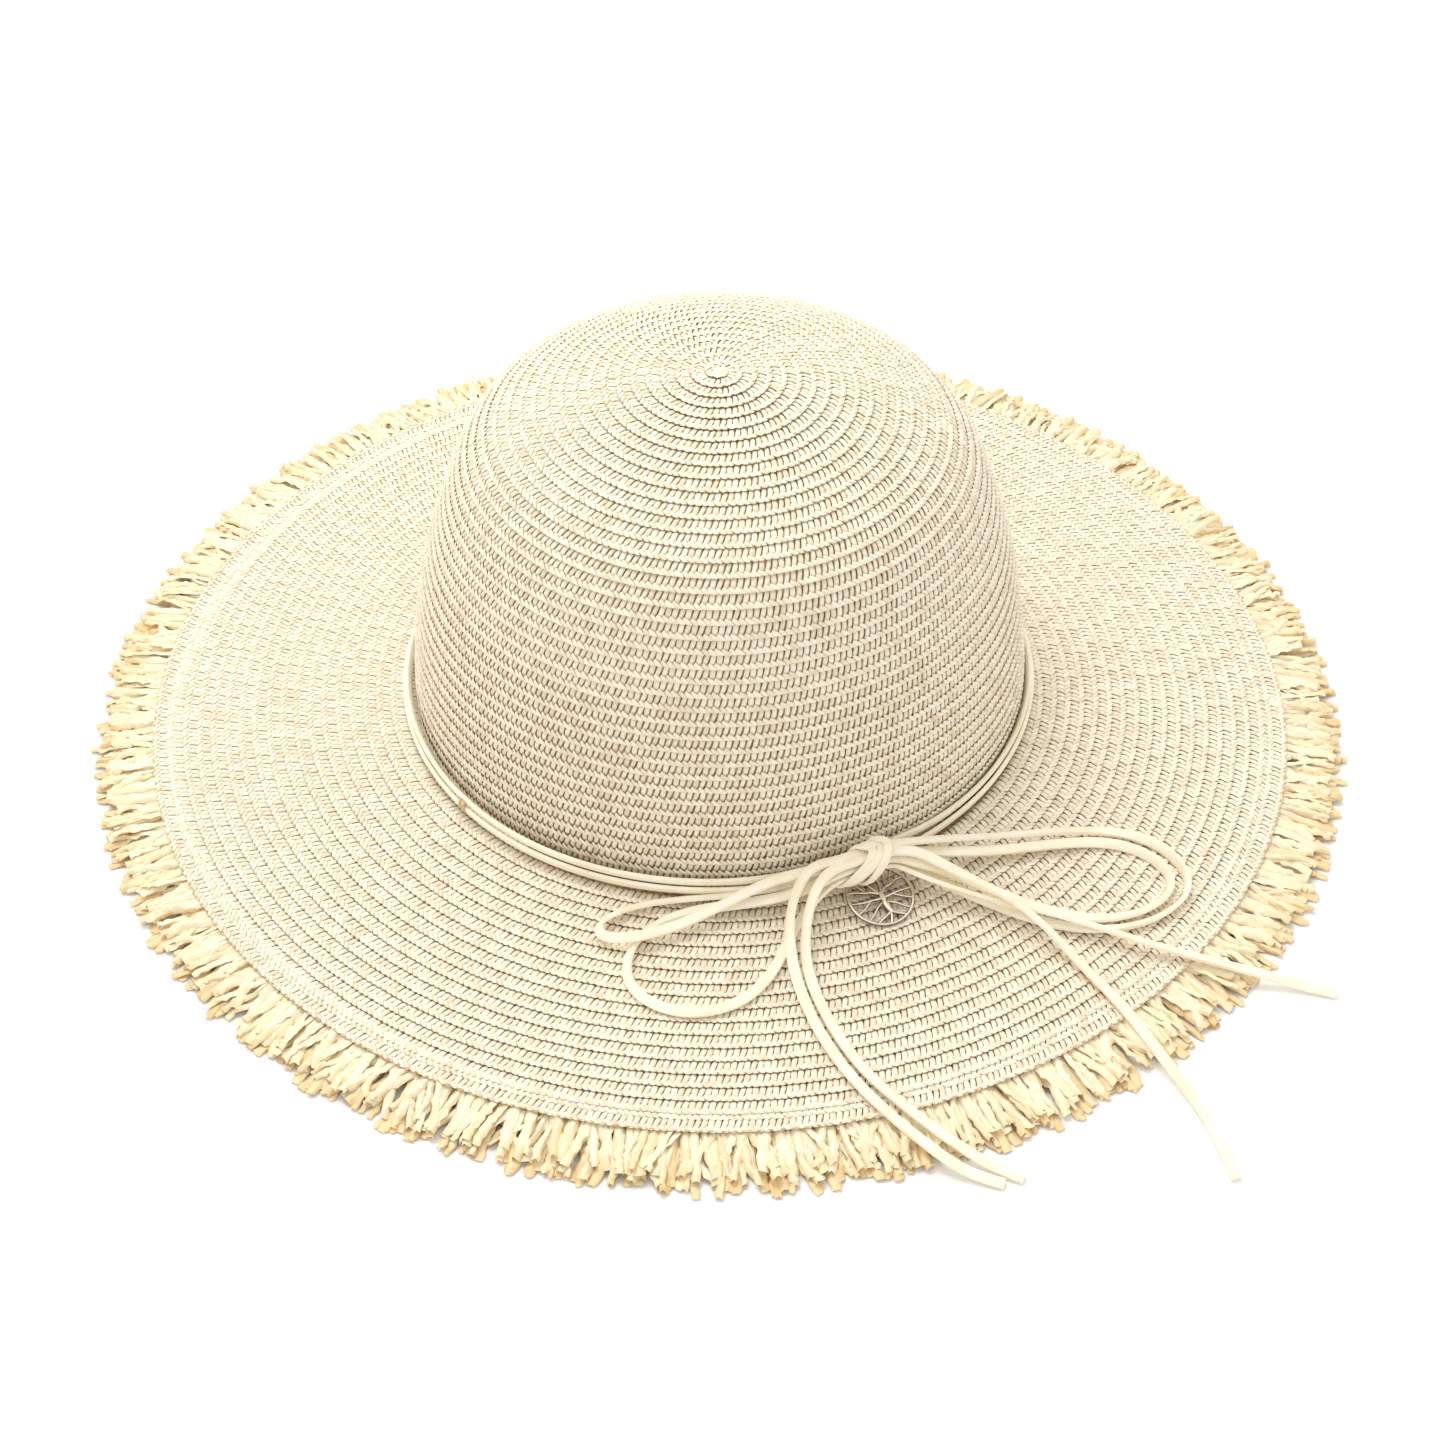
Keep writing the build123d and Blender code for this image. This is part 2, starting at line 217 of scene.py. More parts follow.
# ---- One group of plait stitches ----
# The braid is plaited from flat straws. Each stitch shows a short straw that leans outwards from under the
# row before it, and a second one that doubles back along the row's outer edge and makes a raised rib.
millimetre = 0.001
stitch_pitch = 0.0019
row_inner_edge, row_outer_edge = -0.0024, 0.0021


def pick(*pieces):
    """Leave just these objects selected, with the last one active."""
    if bpy.context.mode != "OBJECT":
        bpy.ops.object.mode_set(mode="OBJECT")
    bpy.ops.object.select_all(action="DESELECT")
    for piece in pieces:
        piece.select_set(True)
    bpy.context.view_layer.objects.active = pieces[-1]


def edit_where(piece, chosen):
    """Open the piece in edit mode, with just the vertices selected whose place passes the test."""
    pick(piece)
    bpy.ops.object.mode_set(mode="EDIT")
    bpy.ops.mesh.select_mode(type="VERT")
    bpy.ops.mesh.select_all(action="DESELECT")
    bpy.ops.object.mode_set(mode="OBJECT")
    for vertex in piece.data.vertices:
        vertex.select = chosen(vertex.co)
    bpy.ops.object.mode_set(mode="EDIT")


def settle(piece):
    """Put the object's place, turn and size into its mesh."""
    pick(piece)
    bpy.ops.object.transform_apply(location=True, rotation=True, scale=True)


def merge(name, pieces):
    """Join the pieces into one of this name."""
    pick(*pieces)
    bpy.ops.object.join()
    whole = bpy.context.object
    whole.name = name
    whole.data.name = name
    settle(whole)
    return whole


def straw_bar(start, end, width, foot, top, open_end=False):
    """One straw of a stitch from start to end: domed across, and low where it goes under another. Its far
    end goes under too, or stands open at the row's edge."""
    bpy.ops.mesh.primitive_grid_add(x_subdivisions=3, y_subdivisions=3, size=1)
    bar = bpy.context.object
    edit_where(bar, lambda place: abs(place.y) < 0.4)
    bpy.ops.transform.translate(value=(0, 0, 0.4 * (top - foot)))
    edit_where(bar, lambda place: place.x > -0.4 and (open_end or place.x < 0.4))
    bpy.ops.transform.translate(value=(0, 0, 0.6 * (top - foot)))
    edit_where(bar, lambda place: abs(place.y) < 0.4)
    bpy.ops.transform.resize(value=(1, 1.7, 1))
    bpy.ops.object.mode_set(mode="OBJECT")
    bar.scale = (math.dist(start, end), width, 1)
    bar.rotation_euler.z = math.atan2(end[1] - start[1], end[0] - start[0])
    bar.location = ((start[0] + end[0]) / 2, (start[1] + end[1]) / 2, foot)
    settle(bar)
    return bar


# six stitches, each leaning and standing a little differently
leans = (0.10, -0.16, 0.05, 0.20, -0.05, -0.2)
lifts = (0.02, -0.08, 0.07, -0.03, 0.10, -0.06)
group_length = len(leans) * stitch_pitch


def plait(name, straw_width, straw_foot, straw_top, rib_start, rib_width, rib_top):
    """Six stitches side by side, with their straws this wide and their tops this high in millimetres."""
    straws = []
    for number, (lean, lift) in enumerate(zip(leans, lifts)):
        along = number * stitch_pitch
        # the short straw leans out from under the row before it
        straws.append(straw_bar(
            (along + lean * millimetre, row_inner_edge),
            (along + (0.85 - lean) * millimetre, 0.0006 + rib_start * millimetre),
            (straw_width + 0.8 * lean) * millimetre, straw_foot * millimetre, (straw_top + lift) * millimetre,
        ))
        # the second one doubles back along the outer edge as a rib
        straws.append(straw_bar(
            (along + (1.7 + lean) * millimetre, rib_start * millimetre),
            (along - (0.6 + lean) * millimetre, row_outer_edge),
            rib_width * millimetre, (rib_top - 0.6) * millimetre, (rib_top + lift) * millimetre,
            open_end=True,
        ))
    group = merge(name, straws)
    # the outer ends of the ribs are drawn into one almost straight edge
    edit_where(group, lambda place: place.y > 0.0015)
    bpy.ops.transform.resize(value=(1, 0.15, 1), center_override=(0, row_outer_edge, 0))
    bpy.ops.object.mode_set(mode="OBJECT")
    bpy.ops.object.shade_smooth()
    return group


tip_plait = plait("tip_plait", 1.6, -0.05, 0.78, 0.35, 1.28, 1.06)
shoulder_plait = plait("shoulder_plait", 1.52, -0.25, 0.7, 0.5, 1.2, 1.15)
side_plait = plait("side_plait", 1.46, -0.4, 0.64, 0.6, 1.12, 1.2)
brim_plait = plait("brim_plait", 1.66, 0.15, 0.86, 0.3, 1.34, 1.12)


# ---- Crown and brim rows ----
# One long braid is sewn in a spiral from the tip of the crown to the edge of the brim, each row lapped over
# the next. The crown is a shallow dome, a rounded shoulder and a side that is almost straight.
row_pitch = 0.00438
stitch_depth = 0.0011
dome_radius, dome_level = 0.130, 0.003
side_radius, side_axis, crease_level = 0.220, -0.125, 0.0163
shoulder_radius = 0.035
crease_radius, brim_fall = 0.095, math.atan(0.1325)
last_turn_reach, edge_row_reach = 0.0775, 0.0816

# the shoulder's arc is tangent to the dome and to the side, inside both
reach_dome = dome_radius - shoulder_radius
reach_side = side_radius - shoulder_radius
apart_x, apart_z = -side_axis, dome_level - crease_level
apart_both = math.hypot(apart_x, apart_z)
share = (reach_side**2 - reach_dome**2 + apart_both**2) / (2 * apart_both)
rise = math.sqrt(reach_side**2 - share**2)
shoulder_x = side_axis + (share * apart_x - rise * apart_z) / apart_both
shoulder_z = crease_level + (share * apart_z + rise * apart_x) / apart_both
dome_lean = math.atan2(shoulder_x, shoulder_z - dome_level)
side_lean = math.atan2(shoulder_x - side_axis, shoulder_z - crease_level)


def crown_place(reach, sink=0.0):
    """Radius, height and lean of the crown's face at this distance from the tip, this deep in it."""
    dome_length = dome_radius * dome_lean
    shoulder_length = shoulder_radius * (side_lean - dome_lean)
    if reach < dome_length:
        lean = reach / dome_radius
        centre, radius = (0, dome_level), dome_radius
    elif reach < dome_length + shoulder_length:
        lean = dome_lean + (reach - dome_length) / shoulder_radius
        centre, radius = (shoulder_x, shoulder_z), shoulder_radius
    else:
        lean = side_lean + (reach - dome_length - shoulder_length) / side_radius
        centre, radius = (side_axis, crease_level), side_radius
    radius -= sink
    return centre[0] + radius * math.sin(lean), centre[1] + radius * math.cos(lean), lean


def brim_face(reach, sink=0.0):
    """Radius, height and lean of the brim's upper face at this distance from the crease."""
    radius = crease_radius + reach * math.cos(brim_fall) - sink * math.sin(brim_fall)
    return radius, crease_level - reach * math.sin(brim_fall) - sink * math.cos(brim_fall), brim_fall


def brim_place(reach, sink=0.0):
    """The same for the spiral of rows, which closes into a ring where it meets the last row."""
    return brim_face(min(reach, last_turn_reach), sink)


def edge_place(reach, sink=0.0):
    """The same for the last row, which is a ring."""
    return brim_face(edge_row_reach, 0.7 * sink)


def row_line(name, place, first_row, last_row, sink, steps=72):
    """A spiral over the face, one turn to a row, tilted so that stitches laid along it face outwards."""
    line = bpy.data.curves.new(name, "CURVE")
    line.dimensions = "3D"
    line.twist_mode = "Z_UP"
    line.use_stretch = True
    line.use_deform_bounds = True
    count = round((last_row - first_row) * steps)
    points = line.splines.new("POLY").points
    points.add(count)
    for number, point in enumerate(points):
        row = first_row + (last_row - first_row) * number / count
        radius, height, lean = place(row * row_pitch, sink)
        turn = -math.tau * row
        point.co = (radius * math.cos(turn), radius * math.sin(turn), height, 1)
        point.tilt = -lean
    holder = bpy.data.objects.new(name, line)
    bpy.context.collection.objects.link(holder)
    return holder


def finish_modifiers(piece):
    """Apply every modifier, from the top."""
    pick(piece)
    for modifier in list(piece.modifiers):
        bpy.ops.object.modifier_apply(modifier=modifier.name)


def lay_along(name, unit, unit_length, line):
    """Repeat the unit along a line from end to end, and keep the result as one piece."""
    piece = unit.copy()
    piece.data = unit.data.copy()
    piece.name = name
    piece.data.name = name
    bpy.context.collection.objects.link(piece)
    repeat = piece.modifiers.new("repeat", "ARRAY")
    repeat.fit_type = "FIT_CURVE"
    repeat.curve = line
    repeat.use_relative_offset = False
    repeat.use_constant_offset = True
    repeat.constant_offset_displace = (unit_length, 0, 0)
    follow = piece.modifiers.new("follow", "CURVE")
    follow.object = line
    finish_modifiers(piece)
    bpy.data.objects.remove(line)
    return piece


for name, node, unit, place, first_row, last_row in (
    ("crown_tip_rows", "crown_tip_braid", tip_plait, crown_place, 0.12, 16.01),
    ("crown_shoulder_rows", "crown_shoulder_braid", shoulder_plait, crown_place, 16.0, 26.01),
    ("crown_side_rows", "crown_side_braid", side_plait, crown_place, 26.0, 39.9),
    ("brim_inner_rows", "brim_braid", brim_plait, brim_place, 0.35, 10.01),
    ("brim_outer_rows", "brim_braid", brim_plait, brim_place, 10.0, 18.69),
    ("brim_edge_row", "brim_edge_braid", brim_plait, edge_place, 0.0, 1.004),
):
    line = row_line("line_of_" + name, place, first_row, last_row, stitch_depth)
    rows = lay_along(name, unit, group_length, line)
    rows.data.materials.append(straw)
    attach(rows, "hat")
    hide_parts(node)
for unit in (tip_plait, shoulder_plait, side_plait, brim_plait):
    bpy.data.objects.remove(unit)

# the braid starts as a small folded end in the middle of the tip
crown_height = 0.133
end_radius, end_turn = 0.0021, 0.6
end_stretch = (1.25, 0.85, 0.42)
bpy.ops.mesh.primitive_uv_sphere_add(segments=20, ring_count=10, radius=end_radius)
folded_end = bpy.context.object
folded_end.name = "crown_folded_end"
edit_where(folded_end, lambda place: place.z < 0.0002)
bpy.ops.transform.resize(value=(0.9, 0.9, 0.4))
edit_where(folded_end, lambda place: place.z > -0.0005)
bpy.ops.transform.vertex_random(offset=0.00016, seed=4)
bpy.ops.object.mode_set(mode="OBJECT")
bpy.ops.object.shade_smooth()
folded_end.scale = end_stretch
folded_end.rotation_euler.z = end_turn
folded_end.location = (0.0002, 0, crown_height - 0.0006)
settle(folded_end)
folded_end.data.materials.append(straw)
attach(folded_end, "hat")
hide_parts("crown_tip_braid")


# ---- Under side of the braid ----
# Each row laps over the one before it, so the inside of the crown and the under side of the brim show the
# same plait as shallow steps. This shell is that under layer, and it closes the gaps between the straws.
under_depth, braid_thickness = 0.0012, 0.0022
weld_gap = 0.00001


def mottled_finish(name, roughness, scale, detail, stops, strength, depth, **sockets):
    """A finish whose colour and relief follow one fine noise over the piece."""
    finish, tree, shader = new_finish(name, roughness, **sockets)
    place = add_node(tree, "TexCoord")
    spots = add_node(tree, "TexNoise", {"Scale": scale, "Detail": detail})
    ramp = add_node(tree, "ValToRGB")
    ramp_colours(ramp, stops)
    relief = add_node(tree, "Bump", {"Strength": strength, "Distance": depth})
    wire(tree, (
        (place, "Object", spots, "Vector"),
        (spots, "Fac", ramp, "Fac"),
        (ramp, "Color", shader, "Base Color"),
        (spots, "Fac", relief, "Height"),
        (relief, "Normal", shader, "Normal"),
    ))
    return finish


def turned_shell(name, outline, closed, steps=144):
    """A shell turned about the crown's axis from an outline of radius and height pairs."""
    edges = [(number, number + 1) for number in range(len(outline) - 1)]
    if closed:
        edges.append((len(outline) - 1, 0))
    mesh = bpy.data.meshes.new(name)
    mesh.from_pydata([(radius, 0, height) for radius, height in outline], edges, [])
    shell = bpy.data.objects.new(name, mesh)
    bpy.context.collection.objects.link(shell)
    turn = shell.modifiers.new("turn", "SCREW")
    turn.steps = turn.render_steps = steps
    turn.use_merge_vertices = True
    turn.merge_threshold = weld_gap
    finish_modifiers(shell)
    edit_where(shell, lambda place: True)
    bpy.ops.mesh.remove_doubles(threshold=weld_gap)
    bpy.ops.mesh.normals_make_consistent(inside=False)
    bpy.ops.object.mode_set(mode="OBJECT")
    bpy.ops.object.shade_smooth_by_angle(angle=math.radians(35))
    return shell


def stepped_outline(place, first_row, last_row):
    """The shell's outline: plain on its upper face, and with one shallow step for each row under it."""
    outline = [place(row * row_pitch, under_depth)[:2] for row in range(first_row, last_row + 1)]
    for row in range(last_row - 1, first_row - 1, -1):
        outline.append(place((row + 0.95) * row_pitch, braid_thickness - 0.0004)[:2])
        outline.append(place((row + 0.75) * row_pitch, braid_thickness)[:2])
        outline.append(place((row + 0.05) * row_pitch, braid_thickness - 0.0001)[:2])
    return outline


crown_outline = stepped_outline(crown_place, 0, 40)
crown_outline[0] = (0, crown_outline[0][1])
crown_outline[-1] = (0, crown_outline[-1][1])
# the shell's darker tan is painted shade for the gaps between the straws and the steps under the rows
straw_shadow = mottled_finish(
    "straw_painted_shade_in_gaps", 0.85, 420.0, 4.0, [(0.35, shade(136, 108, 70)), (0.7, shade(204, 180, 140))],
    0.6, 0.0004, Specular_IOR_Level=0.2,
)
for name, outline, closed, node in (
    ("crown_under_rows", crown_outline, False, "crown_side_braid"),
    ("brim_under_rows", stepped_outline(brim_face, 0, 19), True, "brim_braid"),
):
    shell = turned_shell(name, outline, closed)
    shell.data.materials.append(straw_shadow)
    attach(shell, "hat")
    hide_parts(node)


# ---- Raffia fringe ----
# Cut strips of raffia are sewn side by side under the last row, in three layers. The upper two are pale and
# short, and the under one is a little longer and painted more golden as shade where it shows between the
# upper strips. All are creased and curl at their ends.
fringe_root, fringe_root_level = 0.1768, 0.0047
lying_level, lying_depth = 0.0016, 0.0013
strip_length, strip_width = 0.0185, 0.0028
bend_places = (0.3, 0.5, 0.7, 0.85)
chance = random.Random(7)
# how far each part of a strip bows to one side, and how far it stands up
bends = (
    ((0.3, 0.5, 0.3, -0.4), (0.3, 0.2, -0.3, -0.4)),
    ((-0.4, -0.4, 0.2, 0.5), (0.2, -0.3, 0.4, 0.3)),
    ((0.1, -0.5, -0.6, -0.2), (-0.2, 0.4, 0.5, -0.3)),
    ((-0.2, 0.4, 0.7, 0.5), (0.5, 0.2, -0.5, -0.2)),
    ((0.4, 0.3, -0.3, -0.6), (0.1, 0.5, 0.1, -0.6)),
    ((-0.3, -0.2, -0.4, 0.3), (0.4, -0.2, 0.3, 0.5)),
    ((0.0, 0.3, 0.2, 0.4), (0.3, 0.4, 0.2, -0.2)),
)


def raffia_strip(seed):
    """One cut strip along +X from its root: folded along its middle, bowed, creased, and rough at its end."""
    bpy.ops.mesh.primitive_grid_add(x_subdivisions=11, y_subdivisions=3, size=1, location=(0.5, 0, 0))
    strip = bpy.context.object
    settle(strip)
    strip.scale = (strip_length, strip_width, 1)
    settle(strip)
    edit_where(strip, lambda place: abs(place.y) > 0.4 * strip_width)
    bpy.ops.transform.translate(value=(0, 0, -0.0009))
    edit_where(strip, lambda place: place.x > 0.12 * strip_length)
    bpy.ops.transform.vertex_random(offset=0.00042, uniform=0.2, seed=seed)
    # each part of its length bows to one side and stands up or lies down
    for part, sideways, upwards in zip(bend_places, *bends[seed % len(bends)]):
        edit_where(strip, lambda place: place.x > part * strip_length)
        bpy.ops.transform.translate(value=(0, sideways * millimetre, upwards * millimetre))
    edit_where(strip, lambda place: place.x > 0.96 * strip_length)
    bpy.ops.transform.resize(value=(1, 0.85, 1))
    bpy.ops.transform.vertex_random(offset=0.00045, uniform=0.4, seed=seed + 50)
    bpy.ops.object.mode_set(mode="OBJECT")
    return strip


patterns = [raffia_strip(seed) for seed in (3, 11, 19, 28, 37, 47, 55, 64)]


def fringe_layer(name, count, reach, drop, slope, spread, roll):
    """Strips all round the edge, each turned, tipped, rolled, stretched and lifted a little differently."""
    strips = []
    for number in range(count):
        strip = chance.choice(patterns).copy()
        strip.data = strip.data.copy()
        bpy.context.collection.objects.link(strip)
        turn = math.tau * (number + chance.uniform(-0.4, 0.4)) / count
        strip.location = (
            fringe_root * math.cos(turn), fringe_root * math.sin(turn),
            fringe_root_level - drop + chance.uniform(-0.0003, 0.0003),
        )
        strip.rotation_euler = (
            chance.uniform(-roll, roll), slope + chance.uniform(-0.05, 0.05), turn + chance.gauss(0, spread),
        )
        strip.scale = (
            reach * chance.uniform(0.88, 1.08), chance.uniform(0.75, 1.35) * chance.choice((-1, 1)),
            chance.uniform(0.7, 1.4),
        )
        strips.append(strip)
    layer = merge(name, strips)
    bpy.ops.object.shade_smooth_by_angle(angle=math.radians(38))
    # strips that reach the table lie on it, one on the other
    for vertex in layer.data.vertices:
        if vertex.co.z < lying_level:
            depth = (lying_level - vertex.co.z) / lying_depth
            vertex.co.z = lying_level - lying_depth * (1 - math.exp(-depth))
    return layer


raffia_pale = strip_finish(
    "pale_raffia", shade(254, 246, 218), shade(232, 200, 142), 0.5, 6.0, 0.42, 0.0002,
    Specular_IOR_Level=0.5, Sheen_Weight=0.15, Sheen_Roughness=0.35,
)
# the under layer's more golden colour is painted shade between the upper strips
raffia_gold_shade = strip_finish(
    "golden_raffia_painted_shade", shade(250, 232, 190), shade(216, 176, 114), 0.55, 6.0, 0.42, 0.0002,
    Specular_IOR_Level=0.5, Sheen_Weight=0.15, Sheen_Roughness=0.35,
)

# the outer ends are more golden than the roots, by their distance from the crown's axis
tinted, ends_given, ends_result = node_group(
    "tinted_ends", {"Colour": "Color", "End Colour": "Color"}, {"Colour": "Color"}
)
strip_place = add_node(tinted, "TexCoord")
level_place = add_node(tinted, "VectorMath", {1: (1, 1, 0)}, operation="MULTIPLY")
from_axis = add_node(tinted, "VectorMath", operation="LENGTH")
outer_end = add_node(tinted, "MapRange", {1: 0.184, 2: 0.197, 3: 0.0, 4: 0.45})
ends = add_node(tinted, "Mix", data_type="RGBA", blend_type="MULTIPLY")
wire(tinted, (
    (strip_place, "Object", level_place, 0),
    (level_place, 0, from_axis, 0),
    (from_axis, "Value", outer_end, 0),
    (outer_end, 0, ends, "Factor"),
    (ends_given, "Colour", ends, "A"),
    (ends_given, "End Colour", ends, "B"),
    (ends, "Result", ends_result, "Colour"),
))
for finish in (raffia_pale, raffia_gold_shade):
    tree = finish.node_tree
    golden = add_node(tree, "Group", {"End Colour": shade(250, 230, 192)}, node_tree=tinted)
    base_colour = tree.nodes["Principled BSDF"].inputs["Base Color"]
    tree.links.new(base_colour.links[0].from_socket, golden.inputs["Colour"])
    tree.links.new(golden.outputs["Colour"], base_colour)
for name, count, reach, drop, slope, spread, roll, finish in (
    ("raffia_upper_layer", 500, 0.84, 0.0, 0.13, 0.25, 0.8, raffia_pale),
    ("raffia_middle_layer", 460, 0.95, 0.0007, 0.16, 0.3, 0.9, raffia_pale),
    ("raffia_under_layer", 500, 1.05, 0.0014, 0.17, 0.17, 0.6, raffia_gold_shade),
):
    layer = fringe_layer(name, count, reach, drop, slope, spread, roll)
    layer.data.materials.append(finish)
    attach(layer, "hat")
    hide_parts("raffia_fringe")
for pattern in patterns:
    bpy.data.objects.remove(pattern)


# ---- Threads and sweatband ----
# A line of tan machine stitches holds the fringe under the last row. Inside the crown a ribbon 25 mm wide is
# sewn round the opening with the same thread.
thread_radius, stitch_length, stitch_gap = 0.00026, 0.0026, 0.0033
bpy.ops.mesh.primitive_cylinder_add(
    vertices=6, radius=thread_radius, depth=stitch_length, rotation=(0, math.radians(90), 0)
)
stitch = bpy.context.object
settle(stitch)
edit_where(stitch, lambda place: True)
bpy.ops.mesh.subdivide(number_cuts=2)
edit_where(stitch, lambda place: abs(place.x) > 0.001)
bpy.ops.transform.translate(value=(0, 0, -0.00035))
bpy.ops.object.mode_set(mode="OBJECT")
bpy.ops.object.shade_smooth()

thread_finish = mottled_finish(
    "tan_thread", 0.7, 900.0, 2.0, [(0.3, shade(186, 148, 96)), (0.7, shade(232, 206, 160))],
    0.5, 0.0001, Sheen_Weight=0.2,
)


def ring_place(radius, height, lean):
    """A level ring for row_line, at one radius and height."""
    return lambda reach, sink: (radius, height, lean)


edge_stitch_radius, edge_stitch_level = 0.1776, 0.0056
inner_stitch_radius, inner_stitch_level = 0.09185, 0.0195
for name, node, radius, height, lean in (
    ("brim_edge_stitches", "brim_edge_thread", edge_stitch_radius, edge_stitch_level, brim_fall),
    ("sweatband_stitches", "sweatband_thread", inner_stitch_radius, inner_stitch_level, math.radians(90)),
):
    line = row_line("line_of_" + name, ring_place(radius, height, lean), 0, 1, 0, steps=180)
    stitches = lay_along(name, stitch, stitch_gap, line)
    stitches.data.materials.append(thread_finish)
    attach(stitches, "hat")
    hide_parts(node)
bpy.data.objects.remove(stitch)

ribbon_inside, ribbon_thickness = 0.0903, 0.0006
ribbon_foot, ribbon_top = 0.0175, 0.0425
rib_number = 620
ribbon = turned_shell("sweatband_ribbon", [
    (ribbon_inside + 0.0002, ribbon_foot), (ribbon_inside, ribbon_foot + 0.0005),
    (ribbon_inside + 0.0001, 0.03),
    (ribbon_inside, ribbon_top - 0.0005), (ribbon_inside + 0.0002, ribbon_top),
    (ribbon_inside + ribbon_thickness, ribbon_top - 0.0002),
    (ribbon_inside + ribbon_thickness, ribbon_foot + 0.0002),
], True, steps=180)
ribbon_finish, ribbon_nodes, ribbon_shader = new_finish("grosgrain_ribbon", 0.6, Sheen_Weight=0.2)
ribbon_place = add_node(ribbon_nodes, "TexCoord")
ribbon_turn = add_node(ribbon_nodes, "TexGradient", gradient_type="RADIAL")
rib_count = add_node(ribbon_nodes, "Math", {1: math.tau * rib_number}, operation="MULTIPLY")
rib_wave = add_node(ribbon_nodes, "Math", operation="SINE")
rib_range = add_node(ribbon_nodes, "MapRange", {1: -1.0, 2: 1.0, 3: 0.0, 4: 1.0})
rib_ramp = add_node(ribbon_nodes, "ValToRGB")
ramp_colours(rib_ramp, [(0.0, shade(214, 198, 164)), (1.0, shade(244, 234, 208))])
rib_relief = add_node(ribbon_nodes, "Bump", {"Strength": 0.5, "Distance": 0.0002})
wire(ribbon_nodes, (
    (ribbon_place, "Object", ribbon_turn, "Vector"),
    (ribbon_turn, "Fac", rib_count, 0),
    (rib_count, 0, rib_wave, 0),
    (rib_wave, 0, rib_range, 0),
    (rib_range, 0, rib_ramp, "Fac"),
    (rib_ramp, "Color", ribbon_shader, "Base Color"),
    (rib_range, 0, rib_relief, "Height"),
    (rib_relief, "Normal", ribbon_shader, "Normal"),
))
ribbon.data.materials.append(ribbon_finish)
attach(ribbon, "hat")
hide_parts("sweatband")


# ---- Suede laces: the band round the crown ----
# The laces are flat cream suede, 3.2 mm wide and 1.5 mm thick, cut with soft edges. Two lie side by side
# round the foot of the crown, a little slack at the front left, where a bar tack of thread holds them.
lace_width, lace_thickness = 0.0032, 0.0015

suede, suede_nodes, suede_shader = new_finish(
    "cream_suede", 0.85, Sheen_Weight=0.35, Sheen_Roughness=0.45, Specular_IOR_Level=0.3
)
suede_place = add_node(suede_nodes, "TexCoord")
suede_nap = add_node(suede_nodes, "TexNoise", {"Scale": 1600.0, "Detail": 4.0, "Roughness": 0.7})
suede_cloud = add_node(suede_nodes, "TexNoise", {"Scale": 90.0, "Detail": 3.0})
suede_mix = add_node(suede_nodes, "Mix", {0: 0.35}, data_type="FLOAT")
suede_ramp = add_node(suede_nodes, "ValToRGB")
ramp_colours(suede_ramp, [
    (0.32, shade(243, 229, 199)), (0.5, shade(253, 244, 220)), (0.68, shade(255, 251, 236)),
])
suede_relief = add_node(suede_nodes, "Bump", {"Strength": 0.35, "Distance": 0.00012})
suede_gloss = add_node(suede_nodes, "MapRange", {3: 0.75, 4: 0.95})
wire(suede_nodes, (
    (suede_place, "Object", suede_nap, "Vector"),
    (suede_place, "Object", suede_cloud, "Vector"),
    (suede_cloud, "Fac", suede_mix, "A"),
    (suede_nap, "Fac", suede_mix, "B"),
    (suede_mix, "Result", suede_ramp, "Fac"),
    (suede_ramp, "Color", suede_shader, "Base Color"),
    (suede_nap, "Fac", suede_relief, "Height"),
    (suede_relief, "Normal", suede_shader, "Normal"),
    (suede_nap, "Fac", suede_gloss, "Value"),
    (suede_gloss, "Result", suede_shader, "Roughness"),
))

# the lace's section: a flattened bezier circle with full sides
bpy.ops.curve.primitive_bezier_circle_add(radius=1.0)
lace_section = bpy.context.object
lace_section.name = "lace_section"
lace_section.data.resolution_u = 3
for point in lace_section.data.splines[0].bezier_points:
    point.handle_left_type = point.handle_right_type = "FREE"
    for handle in (point.handle_left, point.handle_right):
        handle[:] = point.co + (handle - point.co) * 1.6
lace_section.scale = (lace_width / 2, lace_thickness / 2, 1)
settle(lace_section)
lace_section.hide_render = True


def lace_line(name, route, closed=False, tilts=(), width=1.0):
    """A smooth line through the air for a lace, with the route's points as its control points."""
    line = bpy.data.curves.new(name, "CURVE")
    line.dimensions = "3D"
    line.twist_mode = "Z_UP"
    line.resolution_u = 6
    spline = line.splines.new("NURBS")
    spline.points.add(len(route) - 1)
    for point, place in zip(spline.points, route):
        point.co = (*place, 1)
        point.radius = width
    for point, tilt in zip(spline.points, tilts):
        point.tilt = math.radians(tilt)
    spline.order_u = 3
    spline.use_cyclic_u = closed
    spline.use_endpoint_u = not closed
    holder = bpy.data.objects.new(name, line)
    bpy.context.collection.objects.link(holder)
    return holder


def lace_on(holder):
    """Turn a line into a lace of the flat section."""
    holder.data.bevel_mode = "OBJECT"
    holder.data.bevel_object = lace_section
    holder.data.use_fill_caps = True
    pick(holder)
    bpy.ops.object.convert(target="MESH")
    lace = bpy.context.object
    edit_where(lace, lambda place: True)
    bpy.ops.mesh.remove_doubles(threshold=0.00002)
    bpy.ops.mesh.normals_make_consistent(inside=False)
    bpy.ops.object.mode_set(mode="OBJECT")
    bpy.ops.object.shade_smooth_by_angle(angle=math.radians(50))
    lace.data.materials.append(suede)
    return lace


ring_points = 36
slack_side, jump_ring_side = math.radians(-128), math.radians(-64.5)
band_tilt = -68


